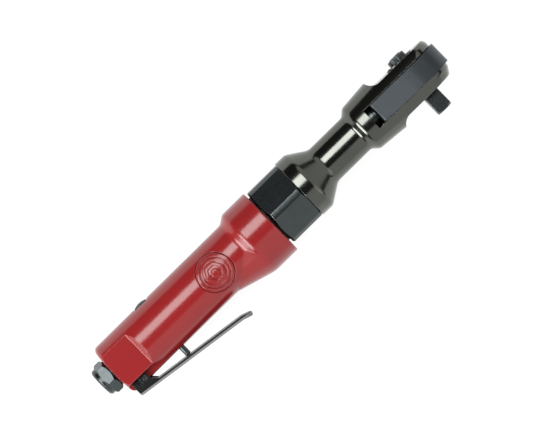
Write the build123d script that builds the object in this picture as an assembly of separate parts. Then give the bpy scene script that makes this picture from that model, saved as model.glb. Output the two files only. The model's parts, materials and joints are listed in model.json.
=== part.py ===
from build123d import *
import os
from math import acos, cos, pi, radians, sin, tan

# Air ratchet, 3/8 in square drive.  Millimetres.
# Every station is measured along the tool axis (X) from the inlet end.  The drive square and the lever
# are on the -Y side, the reverse knob on the +Y side.  The tool is moved to its bench frame on export.

# --- Driving dimensions: outside ---------------------------------------------------------------
BARREL_RADIUS = 16.6
BARREL_START = 9.7
BELL_START = 107.2
BELL_RADIUS = 20.0
BELL_END = 129.8
LOBE_DEPTH = 23.1
LOBE_OFFSET = -5.0
FLAT_HEIGHT = 12.6
INLET_HEX = 17.7
NUT_START = 130.8
NUT_END = 152.9
NUT_FLATS = 36.8
NUT_CORNER_RADIUS = 20.25
COLLAR_START = 153.1
COLLAR_END = 160.8
NECK_START = 172.0
NECK_END = 197.6
COLLAR_RADIUS = 19.35
NECK_RADIUS = 11.95
BULGE_START = 201.4
BULGE_START_RADIUS = 15.4
BULGE_END = 219.8
BULGE_RADIUS = 17.0
EAR_TOP = 11.7
EAR_BOTTOM = -12.8
HEAD_RADIUS = 18.0
DRIVE_STATION = 242.1
YOKE_RADIUS = 19.9
SQUARE = 9.525
SQUARE_TIP = -24.9

# --- Driving dimensions: inlet and throttle ----------------------------------------------------
INLET_BORE_RADIUS = 5.6
INLET_BORE_DEPTH = 12.0
INLET_THREAD_RADIUS = 7.4
INLET_THREAD_END = 23.0
VALVE_STATION = 46.0
VALVE_BORE_RADIUS = 4.3
STEM_RADIUS = 1.75
SEAT_TOP = -1.5
SEAT_BOTTOM = -4.5
PIVOT_STATION = 19.9
PIVOT_Y = -14.3
PIVOT_RADIUS = 1.5
LEVER_REAR = 11.9
LEVER_REAR_Y = -20.2
LEVER_ANGLE = 7.7
LEVER_SHEET = 2.3
LEVER_HALF_WIDTH = 7.45
LEVER_BEND = 81.3
LEVER_TIP_ANGLE = 18.0
LEVER_TIP_LENGTH = 6.0
LUG_HALF_WIDTH = 5.0

# --- Driving dimensions: air motor -------------------------------------------------------------
MOTOR_BORE_RADIUS = 13.6
MOTOR_BORE_START = 57.0
NOSE_RADIUS = 15.6
NOSE_END = 143.0
REAR_PLATE_START = 58.0
CYLINDER_START = 67.0
CYLINDER_END = 103.0
CYLINDER_BORE_RADIUS = 10.6
CYLINDER_OFFSET = -1.3
ROTOR_RADIUS = 9.2
VANE_COUNT = 5
VANE_ROOT_RADIUS = 4.3
VANE_THICKNESS = 1.4
DOWEL_Y = 11.4

# --- Driving dimensions: planetary gears -------------------------------------------------------
GEAR_MODULE = 0.55
PRESSURE_ANGLE = 25.0
SUN_TEETH = 12
PLANET_TEETH = 15
RING_TEETH = SUN_TEETH + 2 * PLANET_TEETH
PLANET_COUNT = 3
PLANET_FIRST_ANGLE = 90.0
PLANET_DISTANCE = GEAR_MODULE * (SUN_TEETH + PLANET_TEETH) / 2
TOOTH_ADDENDUM = 0.8 * GEAR_MODULE
TOOTH_DEDENDUM = 1.0 * GEAR_MODULE
TOOTH_THINNING = 0.05
GEAR_START = 114.0
GEAR_END = 126.5
PLANET_PIN_RADIUS = 1.6
RUNNING_GAP = 0.04

# --- Driving dimensions: crank and ratchet -----------------------------------------------------
CARRIER_START = 127.2
CARRIER_END = 132.4
CARRIER_RADIUS = 10.4
CRANK_BEARING_START = 139.3
CRANK_JOURNAL_RADIUS = 6.0
FRONT_JOURNAL_RADIUS = 5.5
NEEDLE_START = 182.0
NEEDLE_END = 197.0
CRANK_PIN_RADIUS = 2.9
CRANK_PIN_END = 222.3
CRANK_THROW = 2.5
COUNTERWEIGHT_RADIUS = 7.3
COUNTERWEIGHT_END = 211.3
CRANK_FLANGE_RADIUS = 6.3
CRANK_FLANGE_END = 213.0
BUSHING_RADIUS = 4.6
BUSHING_START = 214.5
BUSHING_END = 221.5
SLOT_START = 208.3
SLOT_LOW = -6.5
SLOT_HIGH = 6.7
YOKE_START = 212.5
YOKE_LOW = -6.4
YOKE_HIGH = 6.2
YOKE_TEETH = 36
YOKE_SWING = 6.0
YOKE_TOOTH_TIP = 12.1
YOKE_TOOTH_ROOT = 13.2
ANVIL_RADIUS = 11.9
ANVIL_BOTTOM = -10.65
EAR_BORE_RADIUS = 12.0
JOURNAL_BORE_RADIUS = 7.0
BOSS_HEIGHT = 0.6
BOSS_RADIUS = 9.0
KNOB_RADIUS = 5.65
KNOB_TOP = 15.3
STEM_KNOB_RADIUS = 3.4
PAWL_PIVOT_Z = 7.4
PAWL_TILT = 2.5
PLUNGER_ANGLE = 40.0

FAR = 60.0


# --- Helpers -----------------------------------------------------------------------------------
def rod(start, end, radius, y=0.0, z=0.0):
    """Cylinder along X."""
    return Pos((start + end) / 2, y, z) * Rot(0, 90, 0) * Cylinder(radius, end - start)


def tube(start, end, outer, inner):
    """Hollow cylinder along X."""
    return rod(start, end, outer) - rod(start, end, inner)


def post(low, high, radius, x=DRIVE_STATION, z=0.0):
    """Cylinder along Y."""
    return Pos(x, (low + high) / 2, z) * Rot(90, 0, 0) * Cylinder(radius, high - low)


def washer(low, high, outer, inner, x=DRIVE_STATION):
    """Flat ring about a Y axis."""
    return post(low, high, outer, x) - post(low, high, inner, x)


def peg(x, y, low, high, radius):
    """Cylinder along Z."""
    return Pos(x, y, (low + high) / 2) * Cylinder(radius, high - low)


def block(x_range, y_range, z_range):
    """Box between pairs of limits."""
    limits = (x_range, y_range, z_range)
    sizes = [high - low for low, high in limits]
    return Pos(*[(low + high) / 2 for low, high in limits]) * Box(*sizes)


def outline(corners):
    """Closed face through corners of (x, y, corner radius)."""
    points = [(x, y) for x, y, _ in corners]
    return make_face(FilletPolyline(*points, radius=[r for *_, r in corners], close=True))


def turned(corners):
    """Solid turned about the tool axis from corners of (station, radius, corner radius)."""
    return revolve(outline(corners), Axis.X)


def side_cut(corners, low, high):
    """Side-view outline carried along Z from low to high."""
    return Pos(0, 0, low) * extrude(outline(corners), amount=high - low)


def plan_solid(face, low, high):
    """Plan-view face, drawn as (station, z), carried along Y from low to high."""
    return Pos(0, high, 0) * Rot(90, 0, 0) * extrude(face, amount=high - low)


def around_axis(shape, count, first_angle=0.0):
    """Copies of a shape spaced evenly about the tool axis."""
    return [Rot(first_angle + 360 * i / count, 0, 0) * shape for i in range(count)]


def coil_spring(radius, wire, length, turns):
    """Round-wire spring standing along Z from the origin, wire centre to wire centre."""
    path = Helix(length / turns, length, radius)
    section = Plane(origin=path @ 0, z_dir=path % 0) * Circle(wire)
    return sweep(section, path=path, is_frenet=True)


def ball_bearing(start, width, bore, outer, ball, count):
    """Inner ring, outer ring and balls about the tool axis."""
    pitch = (bore + outer) / 2
    land = 0.6 * ball
    centre = start + width / 2
    groove = Pos(centre, 0, 0) * Rot(0, 90, 0) * Torus(pitch, ball + RUNNING_GAP)
    inner_ring = tube(start, start + width, pitch - land, bore) - groove
    outer_ring = tube(start, start + width, outer, pitch + land) - groove
    balls = around_axis(Pos(centre, pitch, 0) * Sphere(ball), count)
    return Compound([inner_ring.solid(), outer_ring.solid(), *[b.solid() for b in balls]])


def involute(angle):
    """Involute function of a pressure angle in radians."""
    return tan(angle) - angle


def gear_face(teeth, root, tip, thickening, first_angle):
    """Toothed outline with involute flanks, one tooth centred on first_angle, seen along +X."""
    pitch_radius = GEAR_MODULE * teeth / 2
    base = pitch_radius * cos(radians(PRESSURE_ANGLE))
    flank = [root, *[max(base, root) + (tip - max(base, root)) * i / 3 for i in range(4)]]
    if root >= base:
        flank = flank[1:]
    half_pitch = pi / (2 * teeth) + thickening / (2 * pitch_radius)

    def half_angle(radius):
        local = acos(min(1.0, base / radius))
        return half_pitch + involute(radians(PRESSURE_ANGLE)) - involute(local)

    points = []
    for tooth in range(teeth):
        centre = radians(first_angle) + 2 * pi * tooth / teeth
        rising = [(r, centre - half_angle(r)) for r in flank]
        falling = [(r, centre + half_angle(r)) for r in reversed(flank)]
        points += [(r * cos(a), r * sin(a)) for r, a in rising + falling]
    return make_face(Plane.YZ * Polyline(*points, close=True))


def prism_x(face, start, end):
    """A face drawn on the YZ plane, carried along X."""
    return Pos(start, 0, 0) * extrude(face, amount=end - start, dir=(1, 0, 0))


# --- Inlet -------------------------------------------------------------------------------------
HEX_TURN = 45
HEX_START = 2.8
HEX_END = 8.6
SCREEN_START = 12.3
SCREEN_END = 12.9
SCREEN_POCKET_END = 13.2
SCREEN_RADIUS = 5.0
PASSAGE_RADIUS = 4.2


def inlet_bushing():
    ring_radius = 8.55
    end_chamfer = 1.0
    thread_chamfer = 0.8
    corner_bevel = 1.2
    end_ring = turned([(0, 0, 0), (0, ring_radius - end_chamfer, 0), (end_chamfer, ring_radius, 0),
                       (HEX_START, ring_radius, 0), (HEX_START, 0, 0)])
    hexagon = RegularPolygon(INLET_HEX / 2, 6, major_radius=False, rotation=HEX_TURN)
    hexagon = prism_x(Plane.YZ * hexagon, HEX_START, HEX_END)
    corner = INLET_HEX / 2 / cos(pi / 6)
    hexagon &= turned([(HEX_START, 0, 0), (HEX_START, INLET_HEX / 2 - 0.1, 0),
                       (HEX_START + corner_bevel, corner, 0), (HEX_END - corner_bevel, corner, 0),
                       (HEX_END, INLET_HEX / 2 - 0.1, 0), (HEX_END, 0, 0)])
    shank = rod(HEX_END, INLET_THREAD_END, INLET_THREAD_RADIUS)
    bore = rod(0, INLET_BORE_DEPTH, INLET_BORE_RADIUS)
    bore += rod(INLET_BORE_DEPTH, SCREEN_POCKET_END, SCREEN_RADIUS)
    bore += rod(SCREEN_POCKET_END, INLET_THREAD_END, PASSAGE_RADIUS)
    bore += turned([(0, 0, 0), (0, INLET_BORE_RADIUS + thread_chamfer, 0),
                    (thread_chamfer, INLET_BORE_RADIUS, 0), (thread_chamfer, 0, 0)])
    return end_ring + hexagon + shank - bore


def inlet_screen():
    hole_radius = 0.45
    disc = rod(SCREEN_START, SCREEN_END, SCREEN_RADIUS)
    hole = rod(SCREEN_START, SCREEN_END, hole_radius)
    for ring_radius, count in ((1.4, 6), (2.8, 12), (4.1, 18)):
        for copy in around_axis(Pos(0, ring_radius, 0) * hole, count):
            disc -= copy
    return disc - hole


def inlet_seal():
    return tube(HEX_END + 0.1, BARREL_START, INLET_THREAD_RADIUS + 1.0, INLET_THREAD_RADIUS)


# --- Motor housing -----------------------------------------------------------------------------
INLET_PASSAGE_Y = 1.6
INLET_PASSAGE_RADIUS = 3.0
FEED_Y = -6.2
FEED_RADIUS = 1.8
STEM_CHAMBER_BOTTOM = -8.0
STEM_SEAL_BOTTOM = -9.6
DUCT_HALF_WIDTH = 6.0
DUCT_TOP = -16.4
DUCT_BOTTOM = -20.9


def housing_body():
    rear_round = 3.0
    step = 5.7
    body = turned([(BARREL_START, 0, 0), (BARREL_START, BARREL_RADIUS, rear_round),
                   (BELL_START + 1.0, BARREL_RADIUS, 5.0), (BELL_START + step, BELL_RADIUS, 4.0),
                   (BELL_END, BELL_RADIUS, 0.8), (BELL_END, 0, 0)])
    drop = LOBE_OFFSET
    lobe = turned([(80.0, 0, 0), (80.0, 8.0, 0), (89.5, BARREL_RADIUS - 0.1 + drop, 40.0),
                   (112.5, LOBE_DEPTH + drop, 20.0), (BELL_END, LOBE_DEPTH + drop, 0.8),
                   (BELL_END, 0, 0)])
    nose = rod(BELL_END, NOSE_END, NOSE_RADIUS)
    return body + Pos(0, drop, 0) * lobe + nose


def wrench_flats():
    """Material cut away above both side flats, with a sloping end wall towards the barrel."""
    end, wall_length, wall_rise, wall_round = 29.2, 3.2, 5.2, 1.2
    corners = [(0, FLAT_HEIGHT, 0), (end, FLAT_HEIGHT, wall_round),
               (end + wall_length, FLAT_HEIGHT + wall_rise, 0), (0, FLAT_HEIGHT + wall_rise, 0)]
    cut = plan_solid(outline(corners), -FAR, FAR)
    return cut + mirror(cut, Plane.XY)


def lever_recess():
    """Both sides cut back under the lever ears, leaving the lug between them."""
    corners = [(0, -11.3, 0), (28.5, -11.3, 12.0), (38.5, -15.0, 12.0), (50.0, -17.5, 0),
               (50.0, -30.0, 0), (0, -30.0, 0)]
    cut = side_cut(corners, LUG_HALF_WIDTH, FAR)
    return cut + mirror(cut, Plane.XY)


def emblem_relief():
    """Round cast panel on the upper side: a sunk disc with two rings and a hexagon standing in it."""
    station, height = 88.4, 0.4
    panel_radius = 11.2
    sink, figure_sink = 0.45, 0.15
    start, end = station - panel_radius - 1, station + panel_radius + 1
    around = tube(start, end, BARREL_RADIUS + 1, BARREL_RADIUS - sink)
    relief_shell = tube(start, end, BARREL_RADIUS - figure_sink, BARREL_RADIUS - 2)
    panel = around & peg(station, height, 0, FAR, panel_radius)
    figure = peg(station, height, 0, FAR, 2.2)
    for outer, inner in ((10.0, 9.1), (7.9, 7.2)):
        figure += peg(station, height, 0, FAR, outer) - peg(station, height, 0, FAR, inner)
    hexagon = RegularPolygon(5.4, 6) - RegularPolygon(4.2, 6)
    figure += Pos(station, height, 0) * extrude(hexagon, amount=FAR)
    return panel, relief_shell & figure


def exhaust_duct():
    corners = [(99.0, -13.0, 0), (104.0, -13.0, 0), (104.0, DUCT_TOP, 0), (BELL_END + 1, DUCT_TOP, 0),
               (BELL_END + 1, DUCT_BOTTOM, 0), (112.0, DUCT_BOTTOM, 0), (99.0, -17.6, 0)]
    return side_cut(corners, -DUCT_HALF_WIDTH, DUCT_HALF_WIDTH)


def motor_housing():
    body = housing_body() - wrench_flats() - lever_recess()
    panel, relief = emblem_relief()
    body = body - panel + relief
    spotface = post(BARREL_RADIUS - 0.7, FAR, 6.5, VALVE_STATION)
    valve_bore = post(SEAT_BOTTOM, FAR, VALVE_BORE_RADIUS, VALVE_STATION)
    stem_chamber = post(STEM_CHAMBER_BOTTOM, SEAT_BOTTOM, 3.6, VALVE_STATION)
    seal_pocket = post(STEM_SEAL_BOTTOM, STEM_CHAMBER_BOTTOM, 3.3, VALVE_STATION)
    guide = post(-FAR, STEM_SEAL_BOTTOM, STEM_RADIUS + RUNNING_GAP, VALVE_STATION)
    inlet = rod(0, INLET_THREAD_END, INLET_THREAD_RADIUS)
    inlet_passage = rod(INLET_THREAD_END, VALVE_STATION, INLET_PASSAGE_RADIUS, INLET_PASSAGE_Y)
    feed = rod(VALVE_STATION, MOTOR_BORE_START, FEED_RADIUS, FEED_Y)
    motor_bore = rod(MOTOR_BORE_START, NOSE_END, MOTOR_BORE_RADIUS)
    pivot = peg(PIVOT_STATION, PIVOT_Y, -FAR, FAR, PIVOT_RADIUS)
    for cut in (spotface, valve_bore, stem_chamber, seal_pocket, guide, inlet, inlet_passage, feed,
                motor_bore, pivot, exhaust_duct()):
        body -= cut
    return body


def exhaust_silencer():
    inset = 0.1
    return block((112.5, 128.0), (DUCT_BOTTOM + inset, DUCT_TOP - inset),
                 (-DUCT_HALF_WIDTH + inset, DUCT_HALF_WIDTH - inset))


# --- Throttle ----------------------------------------------------------------------------------
LEVER_SLOPE = tan(radians(LEVER_ANGLE))
PIN_GAP = 0.25
SPRING_START = 0.6
SPRING_END = 10.6


def lever_outer_y(station):
    """Height of the lever's outer face at a station."""
    return LEVER_REAR_Y - (station - LEVER_REAR) * LEVER_SLOPE


LEVER_DROP = LEVER_SHEET / cos(radians(LEVER_ANGLE))
PIN_TIP = lever_outer_y(VALVE_STATION) + LEVER_DROP + PIN_GAP


def throttle_lever():
    bend_y = lever_outer_y(LEVER_BEND)
    tip_slope = radians(LEVER_TIP_ANGLE)
    tip_x = LEVER_BEND + LEVER_TIP_LENGTH * cos(tip_slope)
    tip_y = bend_y - LEVER_TIP_LENGTH * sin(tip_slope)
    up_x = LEVER_SHEET * sin(tip_slope)
    up_y = LEVER_SHEET * cos(tip_slope)
    plate = side_cut([(LEVER_REAR, LEVER_REAR_Y, 0.8), (LEVER_BEND, bend_y, 12.0), (tip_x, tip_y, 0.9),
                      (tip_x + up_x, tip_y + up_y, 0.9), (LEVER_BEND + 0.2, bend_y + LEVER_DROP, 10.0),
                      (LEVER_REAR, LEVER_REAR_Y + LEVER_DROP, 0)],
                     -LEVER_HALF_WIDTH, LEVER_HALF_WIDTH)
    tip_round = 6.0
    tip_limit = outline([(0, -LEVER_HALF_WIDTH, 0), (tip_x + up_x, -LEVER_HALF_WIDTH, tip_round),
                         (tip_x + up_x, LEVER_HALF_WIDTH, tip_round), (0, LEVER_HALF_WIDTH, 0)])
    plate &= plan_solid(tip_limit, -FAR, FAR)
    ear_front = 21.5
    ear_top = -11.75
    ear = side_cut([(LEVER_REAR, ear_top, 1.2), (ear_front, ear_top, 1.2), (ear_front + 0.6, -16.0, 2.0),
                    (ear_front + 4.0, lever_outer_y(ear_front + 4.0) + LEVER_DROP, 0),
                    (ear_front + 4.0, lever_outer_y(ear_front + 4.0) + 1, 0),
                    (LEVER_REAR, LEVER_REAR_Y + 1, 0)],
                   LEVER_HALF_WIDTH - LEVER_SHEET, LEVER_HALF_WIDTH)
    notch_x, notch_y, notch_radius = 15.75, -14.6, 1.15
    notch_floor = LEVER_HALF_WIDTH - 0.8
    ear -= peg(notch_x, notch_y, notch_floor, FAR, notch_radius)
    ear -= block((notch_x - notch_radius, notch_x + notch_radius), (notch_y, 0), (notch_floor, FAR))
    ear -= peg(PIVOT_STATION, PIVOT_Y, 0, FAR, PIVOT_RADIUS + RUNNING_GAP)
    return plate + ear + mirror(ear, Plane.XY)


def lever_pin():
    pin = peg(PIVOT_STATION, PIVOT_Y, -LEVER_HALF_WIDTH, LEVER_HALF_WIDTH, PIVOT_RADIUS)
    return pin - peg(PIVOT_STATION, PIVOT_Y, -FAR, FAR, 0.55)


def throttle_pin():
    pin = post(PIN_TIP, SEAT_TOP + 0.1, STEM_RADIUS, VALVE_STATION)
    return chamfer(pin.edges().sort_by(Axis.Y)[0], 0.5)


def throttle_valve():
    head = post(SEAT_TOP + 0.05, SPRING_START, 3.5, VALVE_STATION)
    spigot = post(SPRING_START, 2.2, 1.6, VALVE_STATION)
    return head + spigot - post(SEAT_TOP, SEAT_TOP + 0.1, STEM_RADIUS, VALVE_STATION)


def valve_seat():
    return washer(SEAT_BOTTOM, SEAT_TOP, VALVE_BORE_RADIUS, 2.7, VALVE_STATION)


def stem_seal():
    section = 0.7
    centre = (STEM_SEAL_BOTTOM + STEM_CHAMBER_BOTTOM) / 2
    ring = Torus(STEM_RADIUS + section + RUNNING_GAP, section)
    return Pos(VALVE_STATION, centre, 0) * Rot(90, 0, 0) * ring


def valve_spring():
    wire = 0.3
    length = SPRING_END - SPRING_START - 2 * wire - 0.1
    coil = coil_spring(2.3, wire, length, 6)
    return Pos(VALVE_STATION, SPRING_START + wire + 0.05, 0) * Rot(-90, 0, 0) * coil


def regulator_screw():
    bottom, shoulder, top = 9.0, 16.3, 17.3
    radius = VALVE_BORE_RADIUS - RUNNING_GAP
    crown = (radius ** 2 + (top - shoulder) ** 2) / (2 * (top - shoulder))
    body = post(bottom, top, radius, VALVE_STATION)
    crown_limit = Pos(VALVE_STATION, top - crown, 0) * Sphere(crown)
    body &= crown_limit + post(bottom, shoulder, radius, VALVE_STATION)
    body -= washer(12.0, 13.6, radius, 3.2, VALVE_STATION)
    body -= post(bottom, SPRING_END, 2.9, VALVE_STATION)
    return body - block((0, VALVE_STATION + FAR), (top - 1.7, top + 1), (-0.6, 0.6))


def regulator_seal():
    section = 0.5
    ring = Torus(3.2 + section, section)
    return Pos(VALVE_STATION, 12.8, 0) * Rot(90, 0, 0) * ring


# --- Air motor ---------------------------------------------------------------------------------
REAR_BEARING = dict(width=5.0, bore=3.0, outer=7.5, ball=1.3, count=8)
FRONT_BEARING = dict(width=6.0, bore=4.0, outer=9.5, ball=1.6, count=9)
CRANK_BEARING = dict(width=6.0, bore=6.0, outer=12.0, ball=1.7, count=12)
FRONT_BEARING_START = 106.9
FRONT_PLATE_END = 112.9
PLATE_RADIUS = 13.5
DOWEL_RADIUS = 1.0


def dowel(start, end):
    return rod(start, end, DOWEL_RADIUS, DOWEL_Y)


def rear_end_plate():
    plate = rod(REAR_PLATE_START, CYLINDER_START, PLATE_RADIUS)
    plate -= rod(REAR_PLATE_START, REAR_PLATE_START + REAR_BEARING["width"], REAR_BEARING["outer"])
    plate -= rod(REAR_PLATE_START, CYLINDER_START, 3.6)
    for angle in (140, 180, 220):
        plate -= Rot(angle, 0, 0) * rod(REAR_PLATE_START, CYLINDER_START, 1.2, 9.6)
    return plate - dowel(REAR_PLATE_START, CYLINDER_START)


def rear_bearing():
    return ball_bearing(REAR_PLATE_START, **REAR_BEARING)


def cylinder():
    liner = rod(CYLINDER_START, CYLINDER_END, PLATE_RADIUS)
    liner -= rod(CYLINDER_START, CYLINDER_END, CYLINDER_BORE_RADIUS, CYLINDER_OFFSET)
    for station in (97.4, 99.6, 101.8):
        liner -= block((station - 0.6, station + 0.6), (-FAR, -9.0), (-5.0, 5.0))
    return liner - dowel(CYLINDER_START, CYLINDER_END)


def rotor():
    end_gap = 0.1
    body = rod(CYLINDER_START + end_gap, CYLINDER_END - end_gap, ROTOR_RADIUS)
    slot_half = VANE_THICKNESS / 2 + 0.05
    slot = block((0, BELL_END), (VANE_ROOT_RADIUS - 0.1, FAR), (-slot_half, slot_half))
    for copy in around_axis(slot, VANE_COUNT):
        body -= copy
    shaft = rod(REAR_PLATE_START, CYLINDER_START + 1, REAR_BEARING["bore"] - RUNNING_GAP)
    shaft += rod(CYLINDER_END - 1, GEAR_START, FRONT_BEARING["bore"] - RUNNING_GAP)
    sun_pitch = GEAR_MODULE * SUN_TEETH / 2
    sun = gear_face(SUN_TEETH, sun_pitch - TOOTH_DEDENDUM, sun_pitch + TOOTH_ADDENDUM,
                    -TOOTH_THINNING, PLANET_FIRST_ANGLE)
    return body + shaft + prism_x(sun, GEAR_START, GEAR_END)


def rotor_vane():
    end_gap = 0.3
    return block((CYLINDER_START + end_gap, CYLINDER_END - end_gap),
                 (VANE_ROOT_RADIUS, ROTOR_RADIUS - 0.05), (-VANE_THICKNESS / 2, VANE_THICKNESS / 2))


def front_end_plate():
    plate = rod(CYLINDER_END, FRONT_PLATE_END, PLATE_RADIUS)
    plate -= rod(FRONT_BEARING_START, FRONT_PLATE_END, FRONT_BEARING["outer"])
    plate -= rod(CYLINDER_END, FRONT_PLATE_END, 4.6)
    return plate - dowel(CYLINDER_END, FRONT_PLATE_END - 2)


def front_bearing():
    return ball_bearing(FRONT_BEARING_START, **FRONT_BEARING)


# --- Planetary gears ---------------------------------------------------------------------------
SPIGOT_START = 138.0


def ring_gear():
    pitch = GEAR_MODULE * RING_TEETH / 2
    teeth = gear_face(RING_TEETH, pitch - TOOTH_ADDENDUM, pitch + TOOTH_DEDENDUM + 0.2,
                      TOOTH_THINNING, PLANET_FIRST_ANGLE)
    ring = rod(FRONT_PLATE_END, SPIGOT_START, PLATE_RADIUS)
    ring -= prism_x(teeth, FRONT_PLATE_END, GEAR_END + 0.4)
    return ring - rod(GEAR_END + 0.4, SPIGOT_START, 12.5)


def planet_gear():
    """One planet on the first pin, with a tooth pointing straight out."""
    pitch = GEAR_MODULE * PLANET_TEETH / 2
    face = gear_face(PLANET_TEETH, pitch - TOOTH_DEDENDUM, pitch + TOOTH_ADDENDUM, -TOOTH_THINNING, 0)
    gear = prism_x(face, GEAR_START + 0.3, GEAR_END - 0.3)
    gear -= rod(GEAR_START, GEAR_END, PLANET_PIN_RADIUS + RUNNING_GAP)
    return Pos(0, PLANET_DISTANCE, 0) * gear


def planet_pin():
    return rod(GEAR_START, CARRIER_END, PLANET_PIN_RADIUS, PLANET_DISTANCE)


# --- Crank -------------------------------------------------------------------------------------
def crankshaft():
    bearing_end = CRANK_BEARING_START + CRANK_BEARING["width"]
    shaft = rod(CARRIER_START, CARRIER_END, CARRIER_RADIUS)
    shaft += rod(CARRIER_END, bearing_end + 1, CRANK_JOURNAL_RADIUS - RUNNING_GAP)
    shaft += rod(bearing_end + 1, NEEDLE_END + 3, FRONT_JOURNAL_RADIUS)
    shaft += rod(NEEDLE_END + 3, COUNTERWEIGHT_END, COUNTERWEIGHT_RADIUS)
    shaft += rod(COUNTERWEIGHT_END, CRANK_FLANGE_END, CRANK_FLANGE_RADIUS)
    shaft += rod(CRANK_FLANGE_END, CRANK_PIN_END, CRANK_PIN_RADIUS, -CRANK_THROW)
    for pin in around_axis(planet_pin(), PLANET_COUNT, PLANET_FIRST_ANGLE):
        shaft -= pin
    return shaft


def crank_spacer():
    return tube(CARRIER_END, CRANK_BEARING_START, 8.0, CRANK_JOURNAL_RADIUS)


def crank_bearing():
    return ball_bearing(CRANK_BEARING_START, **CRANK_BEARING)


def needle_bearing():
    needle_radius, cup_inner, cup_outer, count = 0.64, 6.9, 7.5, 16
    cup = tube(NEEDLE_START, NEEDLE_END, cup_outer, cup_inner)
    needle_pitch = FRONT_JOURNAL_RADIUS + needle_radius + RUNNING_GAP
    needle = rod(NEEDLE_START + 1, NEEDLE_END - 1, needle_radius, needle_pitch)
    return Compound([cup.solid(), *[n.solid() for n in around_axis(needle, count)]])


def drive_bushing():
    sleeve = rod(BUSHING_START, BUSHING_END, BUSHING_RADIUS, -CRANK_THROW)
    sleeve = chamfer(sleeve.edges().filter_by(GeomType.CIRCLE), 0.5)
    return sleeve - rod(BUSHING_START, BUSHING_END, CRANK_PIN_RADIUS + RUNNING_GAP, -CRANK_THROW)


# --- Clamp nut and ratchet housing -------------------------------------------------------------
LIP_START = 147.4
LIP_RADIUS = 14.1
SPIGOT_RADIUS = 14.0
GROOVE_START = 145.5
GROOVE_RADIUS = 13.2
EAR_ARC_RADIUS = 6.36
EAR_START = 225.7


def clamp_nut():
    hexagon = Plane.YZ * RegularPolygon(NUT_FLATS / 2, 6, major_radius=False, rotation=30)
    nut = prism_x(hexagon, NUT_START, NUT_END)
    chamfer_length, chamfer_depth = 1.3, 2.6
    nut &= turned([(NUT_START, 0, 0), (NUT_START, NUT_CORNER_RADIUS - chamfer_depth, 0),
                   (NUT_START + chamfer_length, NUT_CORNER_RADIUS, 0), (NUT_END - 0.7, NUT_CORNER_RADIUS, 0),
                   (NUT_END, NUT_CORNER_RADIUS - 1.6, 0), (NUT_END, 0, 0)])
    nut -= rod(NUT_START, LIP_START, NOSE_RADIUS)
    return nut - rod(LIP_START, NUT_END, LIP_RADIUS)


def clamp_ring():
    ring = tube(GROOVE_START, LIP_START - 0.1, 15.4, GROOVE_RADIUS)
    return ring - block((0, FAR * 4), (-FAR, 0), (-1.5, 1.5))


def ear_side_cut(height):
    """Metal milled away above an ear's face, ending in a round run-out up to the bulge."""
    cut = block((EAR_START, DRIVE_STATION + FAR), (height, FAR), (-FAR, FAR))
    return cut + peg(EAR_START, height + EAR_ARC_RADIUS, -FAR, FAR, EAR_ARC_RADIUS)


def head_round():
    """Round end of both ears about the drive axis, its corners bevelled, more so on the drive side."""
    profile = [(0, EAR_BOTTOM, 0), (15.2, EAR_BOTTOM, 2.0), (HEAD_RADIUS, -8.4, 2.0),
               (HEAD_RADIUS, 9.5, 1.0), (16.8, EAR_TOP, 1.0), (BOSS_RADIUS, EAR_TOP, 0),
               (BOSS_RADIUS, EAR_TOP + BOSS_HEIGHT, 0.2), (0, EAR_TOP + BOSS_HEIGHT, 0)]
    return Pos(DRIVE_STATION, 0, 0) * revolve(outline(profile), Axis.Y)


def ratchet_housing():
    blank = [(SPIGOT_START, 0, 0), (SPIGOT_START, PLATE_RADIUS, 0.3), (NOSE_END + 0.3, PLATE_RADIUS, 0),
             (NOSE_END + 0.3, SPIGOT_RADIUS, 0), (COLLAR_START, SPIGOT_RADIUS, 0),
             (COLLAR_START, COLLAR_RADIUS, 0.5), (COLLAR_END, COLLAR_RADIUS, 5.0),
             (NECK_START, NECK_RADIUS, 6.0), (NECK_END, NECK_RADIUS, 3.0),
             (BULGE_START, BULGE_START_RADIUS, 4.0), (BULGE_END, BULGE_RADIUS, 0),
             (DRIVE_STATION, HEAD_RADIUS, 0), (DRIVE_STATION + FAR, HEAD_RADIUS, 0),
             (DRIVE_STATION + FAR, 0, 0)]
    body = turned(blank)
    body &= rod(0, DRIVE_STATION, FAR) + head_round()
    body -= ear_side_cut(EAR_TOP) - post(-FAR, EAR_TOP + BOSS_HEIGHT, BOSS_RADIUS)
    body -= mirror(ear_side_cut(-EAR_BOTTOM), Plane.XZ)
    body -= tube(GROOVE_START, LIP_START, FAR, GROOVE_RADIUS) & rod(GROOVE_START, LIP_START, 14.5)
    body -= block((SLOT_START, DRIVE_STATION + FAR), (SLOT_LOW, SLOT_HIGH), (-FAR, FAR))
    bearing_end = CRANK_BEARING_START + CRANK_BEARING["width"]
    body -= rod(SPIGOT_START, bearing_end, CRANK_BEARING["outer"])
    body -= rod(bearing_end, NEEDLE_START - 1, 8.5)
    body -= rod(NEEDLE_START - 1, NEEDLE_END + 1, 7.5)
    body -= rod(NEEDLE_END + 1, 224.0, 7.8)
    body -= post(-FAR, SLOT_LOW, EAR_BORE_RADIUS)
    body -= post(RING_LOW, RING_HIGH, RING_GROOVE_RADIUS)
    return body - post(SLOT_HIGH, EAR_TOP + BOSS_HEIGHT, JOURNAL_BORE_RADIUS)


# --- Ratchet head ------------------------------------------------------------------------------
RING_LOW = -11.95
RING_HIGH = -11.25
RING_GROOVE_RADIUS = 12.7
HUB_RADIUS = 7.2
HUB_BOTTOM = -13.2
PAWL_SLOT_FLOOR = 1.2
PAWL_SLOT_HALF = 4.1
PAWL_PIN_RADIUS = 1.4
STEM_BOTTOM = -2.0
DETENT_Y = -19.5
DETENT_RADIUS = 1.6
DETENT_CENTRE_Z = -3.9


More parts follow.
